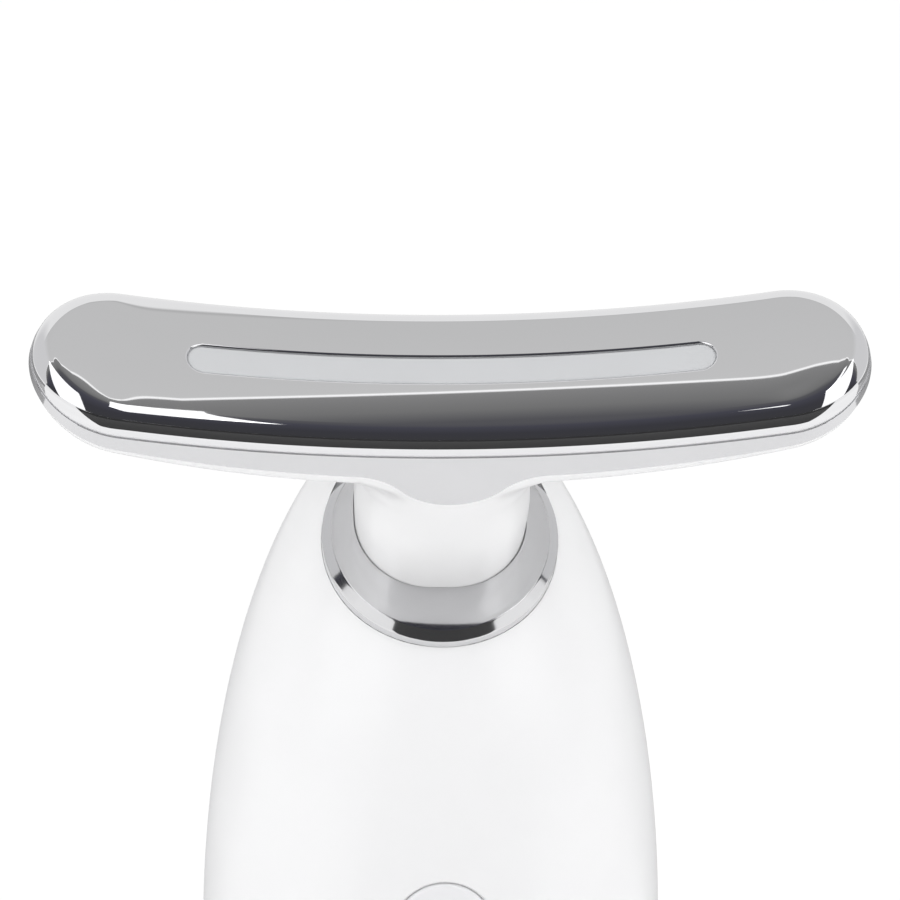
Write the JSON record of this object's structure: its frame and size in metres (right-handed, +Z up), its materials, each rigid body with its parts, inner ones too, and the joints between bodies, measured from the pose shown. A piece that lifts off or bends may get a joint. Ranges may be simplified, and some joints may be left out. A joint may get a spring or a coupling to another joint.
{
  "type": "face massager",
  "caption": "Hand-held face and neck massager: glossy egg-shaped grip, slanted plated collar, round neck and a wide curved polished head with a long light window.",
  "frame": {"origin": "centre of the flat foot that the handle stands on", "axes": "+Z up along the handle, -Y to the front with the button and the head, X along the wide head"},
  "size_m": [0.094, 0.0554, 0.1201],
  "materials": {
    "white_shell": "smooth high gloss moulding",
    "button_white": "smooth gloss moulding, slightly dished",
    "polished_plate": "mirror polished plating on a cast alloy plate",
    "plated_trim": "bright plating",
    "frosted_window": "milky translucent light guide",
    "dark_rubber": "matt",
    "seal_rubber": "matt",
    "inner_plastic": "plain moulding",
    "heater_film": "amber film",
    "led_board": "white solder mask",
    "led_chip": "pale phosphor dots",
    "green_board": "solder mask",
    "chip_black": "moulded packages",
    "switch_black": "plain moulding",
    "switch_plunger": "plain moulding",
    "battery_wrap": "shrink sleeve",
    "socket_metal": "drawn steel",
    "motor_metal": "drawn steel",
    "weight_metal": "pressed",
    "steel_screw": "plain steel",
    "grey_wire": "soft sheath",
    "red_wire": "soft sheath"
  },
  "bodies": {
    "handle": {"front_shell": "white_shell", "rear_shell": "white_shell", "head_shell": "white_shell", "collar_ring": "plated_trim", "head_bezel": "plated_trim", "treatment_plate": "polished_plate", "plate_gasket": "seal_rubber", "light_window": "frosted_window", "heater_films": "heater_film", "light_strip": "led_board", "light_chips": "led_chip", "light_tray": "inner_plastic", "plate_screws": "steel_screw", "neck_retainer": "inner_plastic", "neck_screws": "steel_screw", "switch_body": "switch_black", "inner_frame": "inner_plastic", "frame_screws": "steel_screw", "main_board": "green_board", "board_screws": "steel_screw", "board_chips": "chip_black", "battery_cell": "battery_wrap", "charge_board": "green_board", "charge_socket": "socket_metal", "motor_can": "motor_metal", "motor_cap": "inner_plastic", "motor_sleeve": "dark_rubber", "motor_clamp": "inner_plastic", "clamp_screws": "steel_screw", "head_cable": "grey_wire", "battery_leads": "red_wire", "charge_leads": "grey_wire", "motor_leads": "red_wire"},
    "button": {"power_button": "button_white"},
    "plunger": {"switch_plunger": "switch_plunger"},
    "rotor": {"motor_shaft": "steel_screw", "eccentric_weight": "weight_metal"}
  },
  "joints": [
    {"name": "button_press", "type": "slide", "parent": "handle", "child": "button", "axis": [0, 1, 0], "range_m": [0, 0.0005], "stiffness_N_per_m": 2000},
    {"name": "plunger_press", "type": "slide", "parent": "handle", "child": "plunger", "axis": [0, 1, 0], "range_m": [0, 0.0005]},
    {"name": "rotor_spin", "type": "hinge", "parent": "handle", "child": "rotor", "pos_m": [0, 0.00405, 0.075], "axis": [1, 0, 0], "continuous": true}
  ],
  "couplings": [
    {"joint": "plunger_press", "follows": "button_press", "ratio": 1}
  ]
}
